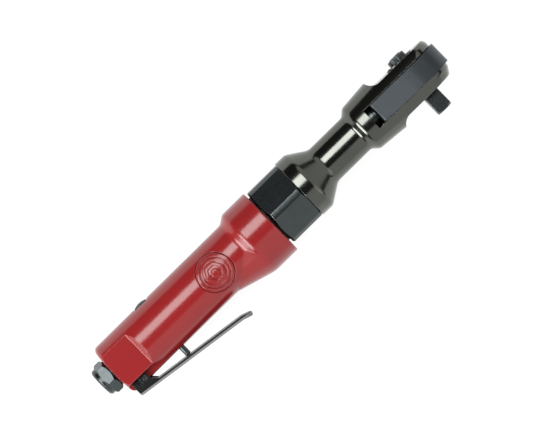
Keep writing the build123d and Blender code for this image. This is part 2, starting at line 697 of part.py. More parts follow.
def ratchet_yoke():
    centre = DRIVE_STATION
    tail_angle = radians(15.5)
    tangent_x = centre - YOKE_RADIUS * sin(tail_angle)
    tangent_z = YOKE_RADIUS * cos(tail_angle)
    tail_half = tangent_z - (tangent_x - YOKE_START) * tan(tail_angle)
    tail = outline([(YOKE_START, -tail_half, 2.5), (tangent_x, -tangent_z, 0), (tangent_x, tangent_z, 0),
                    (YOKE_START, tail_half, 2.5)])
    body = plan_solid(tail, YOKE_LOW, YOKE_HIGH) + post(YOKE_LOW, YOKE_HIGH, YOKE_RADIUS)
    step = pi / YOKE_TEETH
    points = []
    for i in range(YOKE_TEETH):
        for radius, angle in ((YOKE_TOOTH_ROOT, 2 * i * step), (YOKE_TOOTH_TIP, (2 * i + 1) * step)):
            points.append((centre + radius * cos(angle), radius * sin(angle)))
    body -= plan_solid(make_face(Polyline(*points, close=True)), YOKE_LOW, YOKE_HIGH)
    fork_half = BUSHING_RADIUS + (centre - BUSHING_START) * sin(radians(YOKE_SWING)) + 0.2
    body -= block((YOKE_START, CRANK_PIN_END + 1), (YOKE_LOW, YOKE_HIGH), (-fork_half, fork_half))
    mouth_half = CRANK_FLANGE_RADIUS + (centre - YOKE_START) * sin(radians(YOKE_SWING)) + 0.4
    mouth = block((YOKE_START, CRANK_FLANGE_END + 1.2), (YOKE_LOW, YOKE_HIGH), (-mouth_half, mouth_half))
    return body - mouth


def pawl_axis(low, high, radius):
    return post(low, high, radius, DRIVE_STATION, PAWL_PIVOT_Z)


def anvil():
    body = post(ANVIL_BOTTOM, YOKE_HIGH, ANVIL_RADIUS)
    body += post(YOKE_HIGH, EAR_TOP + BOSS_HEIGHT - 0.05, JOURNAL_BORE_RADIUS - 0.05)
    body += post(HUB_BOTTOM, ANVIL_BOTTOM, HUB_RADIUS)
    half = SQUARE / 2
    square = block((DRIVE_STATION - half, DRIVE_STATION + half), (SQUARE_TIP, HUB_BOTTOM), (-half, half))
    square = fillet(square.edges().filter_by(Axis.Y), 0.7)
    corner = half * 2 ** 0.5
    point = revolve(outline([(0, SQUARE_TIP, 0), (half - 0.2, SQUARE_TIP, 0), (corner, SQUARE_TIP + 1.8, 0),
                             (corner, HUB_BOTTOM, 0), (0, HUB_BOTTOM, 0)]), Axis.Y)
    square &= Pos(DRIVE_STATION, 0, 0) * point
    body += square
    body -= block((DRIVE_STATION - FAR, DRIVE_STATION + FAR), (-PAWL_SLOT_HALF, PAWL_SLOT_HALF),
                  (PAWL_SLOT_FLOOR, FAR))
    body -= post(STEM_BOTTOM - 0.2, FAR, STEM_KNOB_RADIUS + 0.05)
    body -= pawl_axis(YOKE_LOW, YOKE_HIGH, PAWL_PIN_RADIUS)
    return body - peg(DRIVE_STATION, DETENT_Y, -half, 2.5, DETENT_RADIUS + 0.05)


def pawl():
    """Two-ended rocker, resting with its rear nose raised; both noses stay inside the tooth tips."""
    nose_radius = 11.7
    back = 4.8
    thickness = PAWL_SLOT_HALF - 0.1
    body = post(-thickness, thickness, nose_radius)
    body &= block((0, DRIVE_STATION + FAR), (-FAR, FAR), (back, FAR))
    for side in (-1, 1):
        for reach in (7.2, 8.8):
            notch = Rot(0, 45, 0) * Box(1.0, 4 * thickness, 1.0)
            height = (nose_radius ** 2 - reach ** 2) ** 0.5
            body -= Pos(DRIVE_STATION + side * reach, 0, height) * notch
    body -= pawl_axis(-FAR, FAR, PAWL_PIN_RADIUS + RUNNING_GAP)
    tilt = Pos(DRIVE_STATION, 0, PAWL_PIVOT_Z) * Rot(0, PAWL_TILT, 0) * Pos(-DRIVE_STATION, 0, -PAWL_PIVOT_Z)
    return tilt * body


def pawl_pin():
    return pawl_axis(YOKE_LOW, YOKE_HIGH, PAWL_PIN_RADIUS)


def friction_washer():
    return washer(YOKE_HIGH + 0.05, SLOT_HIGH - 0.05, 11.5, JOURNAL_BORE_RADIUS + 0.1)


def thrust_washer():
    return washer(RING_HIGH + 0.05, ANVIL_BOTTOM - 0.05, EAR_BORE_RADIUS - 0.1, HUB_RADIUS + 0.2)


def retaining_ring():
    inner = 10.7
    ring = washer(RING_LOW, RING_HIGH, RING_GROOVE_RADIUS - 0.05, inner)
    gap = 1.6
    ring -= block((DRIVE_STATION, DRIVE_STATION + FAR), (-FAR, FAR), (-gap, gap))
    for side in (-1, 1):
        eye_x, eye_z = DRIVE_STATION + 10.2, side * 3.4
        ring += post(RING_LOW, RING_HIGH, 1.5, eye_x, eye_z)
        ring -= post(RING_LOW, RING_HIGH, 0.7, eye_x, eye_z)
    return ring


def knob_turn(shape):
    """Carry a shape drawn along +Z at the drive axis round to the plunger's rest direction."""
    return Pos(DRIVE_STATION, 0, 0) * Rot(0, -PLUNGER_ANGLE, 0) * shape


def reverse_knob():
    bottom = EAR_TOP + BOSS_HEIGHT + 0.05
    head = post(bottom, KNOB_TOP, KNOB_RADIUS)
    head = fillet(head.edges().filter_by(GeomType.CIRCLE).sort_by(Axis.Y)[-1], 0.9)
    flute_count, flute_radius = 12, 0.9
    for i in range(flute_count):
        angle = 2 * pi * i / flute_count
        reach = KNOB_RADIUS + 0.55
        head -= post(bottom, KNOB_TOP, flute_radius, DRIVE_STATION + reach * cos(angle), reach * sin(angle))
    stem = post(STEM_BOTTOM, bottom, STEM_KNOB_RADIUS)
    stem -= knob_turn(Pos(0, 0, 0.7) * Cylinder(1.35, 6.6))
    return head + stem


def selector_plunger():
    radius, tail, reach = 1.3, 0.8, 4.5
    body = Pos(0, 0, (tail + reach - radius) / 2) * Cylinder(radius, reach - radius - tail)
    return knob_turn(body + Pos(0, 0, reach - radius) * Sphere(radius))


def selector_spring():
    wire = 0.18
    return knob_turn(Pos(0, 0, -2.35) * coil_spring(0.9, wire, 2.8, 4))


def detent_ball():
    return Pos(DRIVE_STATION, DETENT_Y, DETENT_CENTRE_Z) * Sphere(DETENT_RADIUS)


def detent_spring():
    wire = 0.2
    start = DETENT_CENTRE_Z + DETENT_RADIUS + wire + 0.02
    return Pos(DRIVE_STATION, DETENT_Y, start) * coil_spring(1.2, wire, 2.2 - start, 4)


# --- All pieces, moved to the bench frame ------------------------------------------------------
def all_pieces():
    pieces = {
        "motor_housing": motor_housing(),
        "inlet_bushing": inlet_bushing(),
        "inlet_screen": inlet_screen(),
        "inlet_seal": inlet_seal(),
        "exhaust_silencer": exhaust_silencer(),
        "throttle_lever": throttle_lever(),
        "lever_pin": lever_pin(),
        "throttle_pin": throttle_pin(),
        "throttle_valve": throttle_valve(),
        "valve_seat": valve_seat(),
        "stem_seal": stem_seal(),
        "valve_spring": valve_spring(),
        "regulator_screw": regulator_screw(),
        "regulator_seal": regulator_seal(),
        "rear_end_plate": rear_end_plate(),
        "rear_bearing": rear_bearing(),
        "cylinder": cylinder(),
        "cylinder_pin": dowel(REAR_PLATE_START, FRONT_PLATE_END - 2),
        "rotor": rotor(),
        "front_end_plate": front_end_plate(),
        "front_bearing": front_bearing(),
        "ring_gear": ring_gear(),
        "crankshaft": crankshaft(),
        "crank_spacer": crank_spacer(),
        "crank_bearing": crank_bearing(),
        "crank_needle_bearing": needle_bearing(),
        "drive_bushing": drive_bushing(),
        "clamp_nut": clamp_nut(),
        "clamp_ring": clamp_ring(),
        "ratchet_housing": ratchet_housing(),
        "ratchet_yoke": ratchet_yoke(),
        "anvil": anvil(),
        "pawl": pawl(),
        "pawl_pin": pawl_pin(),
        "friction_washer": friction_washer(),
        "thrust_washer": thrust_washer(),
        "retaining_ring": retaining_ring(),
        "reverse_knob": reverse_knob(),
        "selector_plunger": selector_plunger(),
        "selector_spring": selector_spring(),
        "detent_ball": detent_ball(),
        "detent_spring": detent_spring(),
    }
    for number, vane in enumerate(around_axis(rotor_vane(), VANE_COUNT), start=1):
        pieces[f"rotor_vane_{number}"] = vane
    planets = around_axis(planet_gear(), PLANET_COUNT, PLANET_FIRST_ANGLE)
    for number, planet in enumerate(planets, start=1):
        pieces[f"planet_gear_{number}"] = planet
    pins = around_axis(planet_pin(), PLANET_COUNT, PLANET_FIRST_ANGLE)
    pieces["planet_pins"] = Compound([pin.solid() for pin in pins])
    return pieces


def bench_shift():
    """Bench frame: origin under the middle of the tool's box, with the nut corner on the bench."""
    lowest_y = throttle_lever().bounding_box().min.Y
    return Pos(-(DRIVE_STATION + YOKE_RADIUS) / 2, -(BELL_RADIUS + lowest_y) / 2, NUT_CORNER_RADIUS)


PIECES = all_pieces()
SHIFT = bench_shift()
os.makedirs("parts", exist_ok=True)
for name, piece in PIECES.items():
    export_step(SHIFT * piece, f"parts/{name}.step")
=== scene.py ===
"""Looks of an air ratchet: finishes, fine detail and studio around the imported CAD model."""

import json
import logging
import math
from dataclasses import dataclass
from enum import Enum

import bmesh
import bpy
from mathutils import Matrix, Vector

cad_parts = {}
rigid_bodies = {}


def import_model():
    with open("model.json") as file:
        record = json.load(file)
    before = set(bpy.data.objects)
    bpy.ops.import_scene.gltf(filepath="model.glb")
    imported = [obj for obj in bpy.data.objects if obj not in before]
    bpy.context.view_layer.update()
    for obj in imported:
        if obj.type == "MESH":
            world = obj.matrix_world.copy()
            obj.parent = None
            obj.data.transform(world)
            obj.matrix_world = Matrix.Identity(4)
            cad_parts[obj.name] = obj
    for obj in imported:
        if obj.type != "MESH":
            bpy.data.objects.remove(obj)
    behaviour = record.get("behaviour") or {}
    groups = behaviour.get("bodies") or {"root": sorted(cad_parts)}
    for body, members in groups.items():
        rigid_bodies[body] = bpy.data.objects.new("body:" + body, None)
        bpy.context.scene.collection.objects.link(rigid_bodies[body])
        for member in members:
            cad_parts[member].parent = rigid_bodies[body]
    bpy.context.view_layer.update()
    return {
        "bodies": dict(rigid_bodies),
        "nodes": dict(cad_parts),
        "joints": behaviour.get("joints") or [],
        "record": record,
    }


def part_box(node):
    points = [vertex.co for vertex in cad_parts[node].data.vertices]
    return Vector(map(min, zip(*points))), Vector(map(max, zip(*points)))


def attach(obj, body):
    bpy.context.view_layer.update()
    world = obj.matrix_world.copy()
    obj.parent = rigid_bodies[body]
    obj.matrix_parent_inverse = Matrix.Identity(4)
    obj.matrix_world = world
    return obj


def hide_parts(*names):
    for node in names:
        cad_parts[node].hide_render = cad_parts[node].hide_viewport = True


LOG = logging.getLogger("air_ratchet")
MM = 0.001
WELD = 0.001 * MM
SHARP_ANGLE = 40.0


class Wear(Enum):
    """How hard a surface has been used, as the share of its edges rubbed down to the metal."""

    NEW = 0.0
    LIGHT = 0.25


# --- Shader graph helpers ----------------------------------------------------------------------
class Graph:
    """Adds and joins the nodes of one shader tree."""

    def __init__(self, tree: bpy.types.NodeTree) -> None:
        """Keep the tree to work on.

        Args:
            tree: The node tree of a material or of a group.
        """
        self.tree = tree

    def add(self, kind: str, **inputs: object) -> bpy.types.Node:
        """Add a node and set its sockets or properties.

        Args:
            kind: The node's type name.
            inputs: Values by socket name, with _ for a space, or by property name.

        Returns:
            The new node.
        """
        node = self.tree.nodes.new(kind)
        for name, value in inputs.items():
            if hasattr(node, name) and name != "name":
                setattr(node, name, value)
            else:
                self.feed(node, name.replace("_", " "), value)
        return node

    def feed(self, node: bpy.types.Node, socket: str, value: object) -> None:
        """Set a socket to a value, or join another node's output to it.

        Args:
            node: The node that takes the value.
            socket: The input's name, or its number as text.
            value: A number, a colour or an output socket.
        """
        target = node.inputs[int(socket)] if socket.isdigit() else node.inputs[socket]
        if isinstance(value, bpy.types.NodeSocket):
            self.tree.links.new(value, target)
        else:
            target.default_value = value

    def math(self, operation: str, first: object, second: object = 0.0,
             clamp: bool = False) -> bpy.types.NodeSocket:
        """Work out one number from two.

        Args:
            operation: Blender's name of the operation.
            first: A number or an output.
            second: A number or an output.
            clamp: True to keep the result between 0 and 1.

        Returns:
            The output that holds the result.
        """
        node = self.tree.nodes.new("ShaderNodeMath")
        node.operation = operation
        node.use_clamp = clamp
        self.feed(node, "0", first)
        self.feed(node, "1", second)
        return node.outputs[0]

    def ramp(self, value: bpy.types.NodeSocket, low: float, high: float) -> bpy.types.NodeSocket:
        """Spread the part of a mask between two limits over 0 to 1, with soft ends.

        Args:
            value: The mask.
            low: What becomes 0.
            high: What becomes 1.

        Returns:
            The stretched mask.
        """
        node = self.tree.nodes.new("ShaderNodeMapRange")
        node.interpolation_type = "SMOOTHSTEP"
        self.feed(node, "Value", value)
        self.feed(node, "From Min", low)
        self.feed(node, "From Max", high)
        return node.outputs["Result"]

    def dot(self, first: object, second: object) -> bpy.types.NodeSocket:
        """Dot product of two vectors.

        Args:
            first: A vector or an output.
            second: A vector or an output.

        Returns:
            The product's output.
        """
        node = self.add("ShaderNodeVectorMath", operation="DOT_PRODUCT")
        self.feed(node, "0", first)
        self.feed(node, "1", second)
        return node.outputs["Value"]

    def mix(self, mask: object, first: object, second: object) -> bpy.types.NodeSocket:
        """Blend two colours by a mask.

        Args:
            mask: 0 gives the first, 1 the second.
            first: A colour or an output.
            second: A colour or an output.

        Returns:
            The blended colour.
        """
        node = self.tree.nodes.new("ShaderNodeMix")
        node.data_type = "RGBA"
        for socket, value in (("0", mask), ("6", first), ("7", second)):
            self.feed(node, socket, value)
        return node.outputs[2]

    def coordinates(self, stretch: tuple[float, float, float] = (1.0, 1.0, 1.0)) -> bpy.types.NodeSocket:
        """Object coordinates, stretched along the tool's own axes.

        Args:
            stretch: Scale along X, Y and Z.

        Returns:
            The vector output.
        """
        place = self.tree.nodes.new("ShaderNodeTexCoord")
        mapping = self.add("ShaderNodeMapping", Vector=place.outputs["Object"], Scale=stretch)
        return mapping.outputs["Vector"]

    def noise(self, vector: bpy.types.NodeSocket, scale: object, detail: float = 3.0) -> bpy.types.NodeSocket:
        """Cloudy noise.

        Args:
            vector: Where to read it.
            scale: Blotches per metre.
            detail: Octaves of finer noise.

        Returns:
            The noise, about 0.5.
        """
        return self.add("ShaderNodeTexNoise", Vector=vector, Scale=scale, Detail=detail).outputs["Fac"]


GroupParts = tuple[Graph, bpy.types.Node, bpy.types.Node]


class GroupKit:
    """Shader groups that several finishes share, each built once."""

    def __init__(self) -> None:
        """Build every group."""
        self.edge_wear = self._edge_wear()
        self.grain = self._grain()
        self.soil = self._soil()
        self.skin = self._skin()
        self.cavity = self._cavity()

    @staticmethod
    def _new(name: str, inputs: dict[str, float], outputs: tuple[str, ...]) -> GroupParts:
        """Start a group.

        Args:
            name: The group's name.
            inputs: Its number inputs and their defaults.
            outputs: Its number outputs.

        Returns:
            The graph, the input node and the output node.
        """
        tree = bpy.data.node_groups.new(name, "ShaderNodeTree")
        kind = "NodeSocketFloat"
        for label, value in inputs.items():
            tree.interface.new_socket(label, in_out="INPUT", socket_type=kind).default_value = value
        for label in outputs:
            tree.interface.new_socket(label, in_out="OUTPUT", socket_type=kind)
        return Graph(tree), tree.nodes.new("NodeGroupInput"), tree.nodes.new("NodeGroupOutput")

    def _edge_wear(self) -> bpy.types.NodeTree:
        """Mask of sharp edges, broken up by noise.

        Returns:
            The group.
        """
        inputs = {"Radius": 0.0006, "Amount": 0.5, "Breakup": 900.0}
        graph, given, out = self._new("edge_wear", inputs, ("Mask",))
        rounded = graph.add("ShaderNodeBevel", samples=4, Radius=given.outputs["Radius"])
        flat = graph.add("ShaderNodeNewGeometry")
        likeness = graph.dot(rounded.outputs["Normal"], flat.outputs["Normal"])
        bend = graph.math("SUBTRACT", 1.0, likeness, clamp=True)
        sharp = graph.ramp(bend, 0.02, 0.16)
        spots = graph.ramp(graph.noise(graph.coordinates(), given.outputs["Breakup"], 5.0), 0.35, 0.65)
        share = graph.math("ADD", 0.35, graph.math("MULTIPLY", spots, 0.65))
        broken = graph.math("MULTIPLY", sharp, share)
        graph.feed(out, "Mask", graph.math("MULTIPLY", broken, given.outputs["Amount"], clamp=True))
        return graph.tree

    def _grain(self) -> bpy.types.NodeTree:
        """Fine machining or handling grain, as a height and a mask.

        Returns:
            The group.
        """
        graph, given, out = self._new("grain", {"Scale": 900.0}, ("Height", "Streaks"))
        fine = graph.noise(graph.coordinates((0.08, 1.0, 1.0)), given.outputs["Scale"], 4.0)
        cross = graph.noise(graph.coordinates((1.0, 0.12, 0.12)), given.outputs["Scale"], 2.0)
        both = graph.math("ADD", graph.math("MULTIPLY", fine, 0.7), graph.math("MULTIPLY", cross, 0.3))
        graph.feed(out, "Height", both)
        graph.feed(out, "Streaks", graph.ramp(both, 0.4, 0.62))
        return graph.tree

    def _soil(self) -> bpy.types.NodeTree:
        """Patchy oil film and settled dust.

        Returns:
            The group.
        """
        graph, given, out = self._new("soil", {"Scale": 60.0, "Amount": 0.5}, ("Mask", "Dust"))
        broad = graph.ramp(graph.noise(graph.coordinates(), given.outputs["Scale"], 6.0), 0.42, 0.68)
        specks = graph.ramp(graph.noise(graph.coordinates(), 2600.0, 1.0), 0.66, 0.74)
        graph.feed(out, "Mask", graph.math("MULTIPLY", broad, given.outputs["Amount"]))
        graph.feed(out, "Dust", graph.math("MULTIPLY", specks, given.outputs["Amount"]))
        return graph.tree

    def _skin(self) -> bpy.types.NodeTree:
        """Soft waviness of a cast, forged or sprayed surface.

        Returns:
            The group.
        """
        graph, given, out = self._new("skin", {"Scale": 500.0}, ("Height",))
        waves = graph.noise(graph.coordinates(), given.outputs["Scale"], 2.0)
        slow = graph.noise(graph.coordinates(), graph.math("MULTIPLY", given.outputs["Scale"], 0.22), 2.0)
        graph.feed(out, "Height", graph.math("ADD", graph.math("MULTIPLY", waves, 0.5), slow))
        return graph.tree

    def _cavity(self) -> bpy.types.NodeTree:
        """Mask of grooves and inner corners, found by ambient occlusion, where painted shade goes.

        Returns:
            The group.
        """
        graph, given, out = self._new("cavity", {"Reach": 0.0012, "Amount": 0.5}, ("Mask",))
        nearby = graph.add("ShaderNodeAmbientOcclusion", samples=8, Distance=given.outputs["Reach"])
        closed = graph.math("SUBTRACT", 1.0, nearby.outputs["AO"], clamp=True)
        deep = graph.ramp(closed, 0.12, 0.62)
        graph.feed(out, "Mask", graph.math("MULTIPLY", deep, given.outputs["Amount"], clamp=True))
        return graph.tree


# --- Finishes ----------------------------------------------------------------------------------
Colour = tuple[float, float, float, float]


def grey(level: float, warmth: float = 0.0) -> Colour:
    """A grey, warmer above 0 and cooler below.

    Args:
        level: Brightness.
        warmth: Share added to red and taken from blue.

    Returns:
        The colour.
    """
    return (level * (1 + warmth), level, level * (1 - warmth), 1.0)


@dataclass(frozen=True)
class PaintedLightBand:
    """Painted light along a sheet's edge: beyond a plane in the object's own frame the edge is painted in the
    light edge-wear colour and made less metallic, standing in for the fill light that its rounded lower edge
    catches.
    """

    outward: tuple[float, float, float]
    start: float
    end: float
    dulling: float = 0.7

    def mask(self, graph: Graph) -> bpy.types.NodeSocket:
        """Mask of the band.

        Args:
            graph: The material's graph.

        Returns:
            0 before the plane at start and on the sheet's outer face, 1 on its edge beyond the plane at end.
        """
        reach = graph.dot(graph.coordinates(), self.outward)
        normal = graph.add("ShaderNodeNewGeometry").outputs["Normal"]
        faces_out = graph.ramp(graph.dot(normal, self.outward), 0.4, 0.8)
        return graph.math("SUBTRACT", graph.ramp(reach, self.start, self.end), faces_out, clamp=True)


@dataclass(frozen=True)
class Finish:
    """A procedural finish: a base colour, gloss, fine relief, rubbed edges, soil, painted shade in grooves
    and corners, and an optional band of painted light.
    """

    name: str
    colour: Colour
    shade: Colour
    worn_and_lit: Colour
    metallic: float
    roughness: float
    wear: Wear
    coat: float = 0.0
    coat_roughness: float = 0.1
    grain_scale: float = 900.0
    grain_depth: float = 0.000004
    skin_scale: float = 500.0
    skin_depth: float = 0.00002
    soil: float = 0.4
    edge_radius: float = 0.0005
    specular: float = 0.5
    streaks: float = 0.25
    # cavity: how much painted shade darkens grooves and inner corners; the same mask also roughens them.
    cavity: float = 0.6
    # band: an optional band of painted light along a sheet's edge.
    band: PaintedLightBand | None = None

    def build(self, kit: GroupKit) -> bpy.types.Material:
        """Make the material.

        Args:
            kit: The shared groups.

        Returns:
            The material.
        """
        material = bpy.data.materials.new(self.name)
        material.use_nodes = True
        graph = Graph(material.node_tree)
        shader = material.node_tree.nodes["Principled BSDF"]
        edge = graph.add("ShaderNodeGroup", node_tree=kit.edge_wear, Radius=self.edge_radius,
                         Amount=self.wear.value)
        grain = graph.add("ShaderNodeGroup", node_tree=kit.grain, Scale=self.grain_scale)
        soil = graph.add("ShaderNodeGroup", node_tree=kit.soil, Amount=self.soil)
        skin = graph.add("ShaderNodeGroup", node_tree=kit.skin, Scale=self.skin_scale)
        cavity = graph.add("ShaderNodeGroup", node_tree=kit.cavity, Amount=self.cavity)
        streaks = graph.math("MULTIPLY", grain.outputs["Streaks"], self.streaks)
        # Painted shade: grooves and inner corners, found by the cavity mask, are darkened towards 0.3 of the
        # shade colour.
        hollow_shade = tuple(0.3 * level for level in self.shade[:3]) + (1.0,)
        body = graph.mix(soil.outputs["Mask"], self.colour, self.shade)
        body = graph.mix(streaks, body, self.shade)
        body = graph.mix(graph.math("MULTIPLY", soil.outputs["Dust"], 0.2), body, self.worn_and_lit)
        body = graph.mix(edge.outputs["Mask"], body, self.worn_and_lit)
        soft = graph.add("ShaderNodeBevel", samples=4, Radius=self.edge_radius)
        # Painted light: beyond the band's plane, a sheet's edge is painted in the light edge-wear colour and
        # made less metallic.
        if self.band:
            painted_light = self.band.mask(graph)
            body = graph.mix(painted_light, body, self.worn_and_lit)
            dulled = graph.math("MULTIPLY", painted_light, self.band.dulling)
            graph.feed(shader, "Metallic", graph.math("SUBTRACT", self.metallic, dulled))
        graph.feed(shader, "Base Color", graph.mix(cavity.outputs["Mask"], body, hollow_shade))
        rough = graph.math("ADD", self.roughness, graph.math("MULTIPLY", streaks, 0.2))
        for group, gain in ((soil, 0.06), (edge, 0.06), (cavity, 0.3)):
            rough = graph.math("ADD", rough, graph.math("MULTIPLY", group.outputs["Mask"], gain))
        graph.feed(shader, "Roughness", rough)
        shader.inputs["Metallic"].default_value = self.metallic
        shader.inputs["Specular IOR Level"].default_value = self.specular
        shader.inputs["Coat Weight"].default_value = self.coat
        shader.inputs["Coat Roughness"].default_value = self.coat_roughness
        relief = graph.add("ShaderNodeBump", Strength=1.0, Distance=self.skin_depth,
                           Height=skin.outputs["Height"], Normal=soft.outputs["Normal"])
        fine = graph.add("ShaderNodeBump", Strength=1.0, Distance=self.grain_depth,
                         Height=grain.outputs["Height"], Normal=relief.outputs["Normal"])
        graph.feed(shader, "Normal", fine.outputs["Normal"])
        return material


RED = (0.22, 0.012, 0.013, 1.0)
DEEP_RED = (0.18, 0.010, 0.012, 1.0)
PALE_RED = (0.42, 0.06, 0.065, 1.0)
BLACK = (0.114, 0.119, 0.107, 1.0)
DEEP_BLACK = (0.080, 0.085, 0.076, 1.0)
BLUE_BLACK = (0.078, 0.089, 0.091, 1.0)
DEEP_BLUE_BLACK = (0.055, 0.064, 0.068, 1.0)
BLUE_GREY = (0.064, 0.073, 0.079, 1.0)
DEEP_BLUE_GREY = (0.048, 0.056, 0.062, 1.0)
BRASS = (0.60, 0.42, 0.16, 1.0)
DULL_BRASS = (0.42, 0.28, 0.10, 1.0)
BRIGHT_BRASS = (0.75, 0.55, 0.25, 1.0)
RESIN = (0.30, 0.15, 0.06, 1.0)
DARK_RESIN = (0.20, 0.10, 0.04, 1.0)
WORN_RESIN = (0.40, 0.25, 0.12, 1.0)

FINISHES = (
    Finish("red_enamel", RED, DEEP_RED, PALE_RED, 0.0, 0.20, Wear.LIGHT, coat=0.28, coat_roughness=0.12,
           grain_depth=0.0000003, skin_scale=420.0, skin_depth=0.000010, soil=0.25, edge_radius=0.0010,
           specular=0.42, streaks=0.0, cavity=0.8),
    Finish("black_oxide", BLACK, DEEP_BLACK, grey(0.28), 1.0, 0.15, Wear.LIGHT,
           grain_depth=0.0000004, skin_scale=260.0, skin_depth=0.000003, soil=0.3, streaks=0.1,
           edge_radius=0.00025),
    Finish("dark_steel", BLUE_BLACK, DEEP_BLUE_BLACK, grey(0.30), 1.0, 0.26, Wear.LIGHT,
           grain_depth=0.0000006, skin_depth=0.000005, edge_radius=0.0005, streaks=0.12),
    Finish("gunmetal", BLUE_GREY, DEEP_BLUE_GREY, grey(0.30), 1.0, 0.40, Wear.LIGHT,
           grain_depth=0.0000015, skin_depth=0.000006),
    # Lever steel: a very dark base colour, partly the blackened steel's own colour and partly painted shade
    # for its inner face in the body's shadow; its band is painted light on the lower half of its edge.
    Finish("lever_steel", grey(0.028, -0.05), grey(0.020), grey(0.20), 1.0, 0.32, Wear.LIGHT,
           grain_depth=0.0000010, skin_depth=0.000006, edge_radius=0.0008,
           band=PaintedLightBand((-0.134, -0.991, 0.0), 0.0289, 0.0294)),
    Finish("ground_steel", grey(0.60), grey(0.42), grey(0.75), 1.0, 0.18, Wear.NEW, skin_depth=0.000003),
    Finish("gear_steel", grey(0.42), grey(0.28), grey(0.60), 1.0, 0.28, Wear.LIGHT, skin_depth=0.000004),
    Finish("cast_plate", grey(0.30), grey(0.20), grey(0.50), 1.0, 0.42, Wear.LIGHT),
    Finish("brass", BRASS, DULL_BRASS, BRIGHT_BRASS, 1.0, 0.26, Wear.LIGHT),
    Finish("rubber", grey(0.018), grey(0.03), grey(0.05), 0.0, 0.62, Wear.NEW, specular=0.3),
    Finish("phenolic", RESIN, DARK_RESIN, WORN_RESIN, 0.0, 0.5, Wear.LIGHT),
    Finish("felt", grey(0.25, 0.05), grey(0.16), grey(0.3), 0.0, 0.95, Wear.NEW, skin_scale=3000.0,
           skin_depth=0.0002),
    Finish("spring_steel", grey(0.50), grey(0.35), grey(0.6), 1.0, 0.24, Wear.NEW),
)


# --- Studio ------------------------------------------------------------------------------------
@dataclass(frozen=True)
class SoftBox:
    """A rectangular light: where it hangs, how large it is and how bright its face is."""

    name: str
    bearing: float
    tilt: float
    along: float
    across: float
    radiance: float
    distance: float = 0.85


SOFT_BOXES = (
    SoftBox("key", 0.0, 22.5, 0.5, 0.44, 7.2),
    SoftBox("fill", 180.0, 58.0, 1.3, 1.05, 0.8),
    SoftBox("rear", 90.0, 58.0, 0.8, 0.45, 9.0),
    SoftBox("rear_low", 90.0, 35.0, 0.8, 0.22, 0.9),
    SoftBox("front", -90.0, 52.0, 2.4, 0.80, 0.75),
)


@dataclass
class Studio:
    """Pale floor, soft boxes and the camera over the tool."""

    middle: Vector
    axis_height: float
    camera_distance: float = 2.0
    camera_tilt: float = 2.5
    frame_width: float = 0.304
    sensor: float = 36.0
    roll: float = 44.5
    aim_shift: tuple[float, float] = (0.0010, 0.0029)

    def floor(self) -> None:
        """Lay the floor that the tool rests on."""
        mesh = bpy.data.meshes.new("floor")
        shape = bmesh.new()
        bmesh.ops.create_grid(shape, x_segments=1, y_segments=1, size=3.0)
        shape.to_mesh(mesh)
        shape.free()
        floor = bpy.data.objects.new("floor", mesh)
        bpy.context.collection.objects.link(floor)
        material = bpy.data.materials.new("floor")
        material.use_nodes = True
        graph = Graph(material.node_tree)
        shader = material.node_tree.nodes["Principled BSDF"]
        mottle = graph.noise(graph.coordinates(), 3.0)
        graph.feed(shader, "Base Color", graph.mix(mottle, grey(0.14), grey(0.16)))
        shader.inputs["Roughness"].default_value = 0.9
        shader.inputs["Specular IOR Level"].default_value = 0.1
        shader.inputs["Emission Color"].default_value = grey(1.0)
        shader.inputs["Emission Strength"].default_value = 0.90
        mesh.materials.append(material)

    def softbox(self, box: SoftBox) -> None:
        """Hang an area light that looks at the tool.

        Args:
            box: Where it hangs and how bright it is.
        """
        data = bpy.data.lights.new(box.name, "AREA")
        data.shape = "RECTANGLE"
        data.size, data.size_y = box.along, box.across
        data.energy = math.pi * box.radiance * box.along * box.across
        light = bpy.data.objects.new(box.name, data)
        bpy.context.collection.objects.link(light)
        bearing = Matrix.Rotation(math.radians(box.bearing), 4, "Z")
        turn = bearing @ Matrix.Rotation(-math.radians(box.tilt), 4, "X")
        light.matrix_world = Matrix.Translation(self.middle + turn @ Vector((0.0, 0.0, box.distance))) @ turn

    def lights(self) -> None:
        """Hang the soft boxes and set the dim surround."""
        for box in SOFT_BOXES:
            self.softbox(box)
        world = bpy.data.worlds.new("surround")
        world.use_nodes = True
        graph = Graph(world.node_tree)
        back = world.node_tree.nodes["Background"]
        seen = world.node_tree.nodes.new("ShaderNodeLightPath").outputs["Is Camera Ray"]
        graph.feed(back, "Color", graph.mix(seen, grey(0.05), grey(0.98)))
        bpy.context.scene.world = world

    def camera(self) -> None:
        """Hang the camera above, leaning to the knob side, rolled so that the tool climbs to the right."""
        data = bpy.data.cameras.new("camera")
        data.sensor_width = self.sensor
        data.lens = self.sensor * self.camera_distance / self.frame_width
        data.clip_start = 0.01
        camera = bpy.data.objects.new("camera", data)
        bpy.context.collection.objects.link(camera)
        lean = Matrix.Rotation(-math.radians(self.camera_tilt), 4, "X")
        turn = lean @ Matrix.Rotation(-math.radians(self.roll), 4, "Z")
        aim = Vector((*self.aim_shift, self.axis_height))
        camera.matrix_world = Matrix.Translation(aim + lean @ Vector((0.0, 0.0, self.camera_distance))) @ turn
        bpy.context.scene.camera = camera

    def build(self) -> None:
        """Make the whole studio."""
        self.floor()
        self.lights()
        self.camera()
        bpy.context.scene.view_settings.view_transform = "Standard"


# --- Tool --------------------------------------------------------------------------------------
@dataclass
class CadDress:
    """Gives every CAD node the finish of its slot."""

    frame: dict
    finishes: dict[str, bpy.types.Material]

    def build(self) -> None:
        """Put a finish on every CAD node."""
        slots = {part["node"]: part["material_slot"] for part in self.frame["record"]["subparts"]}
        for name, node in self.frame["nodes"].items():
            node.data.materials.clear()
            node.data.materials.append(self.finishes[slots[name]])
        LOG.info("dressed %d CAD nodes", len(slots))


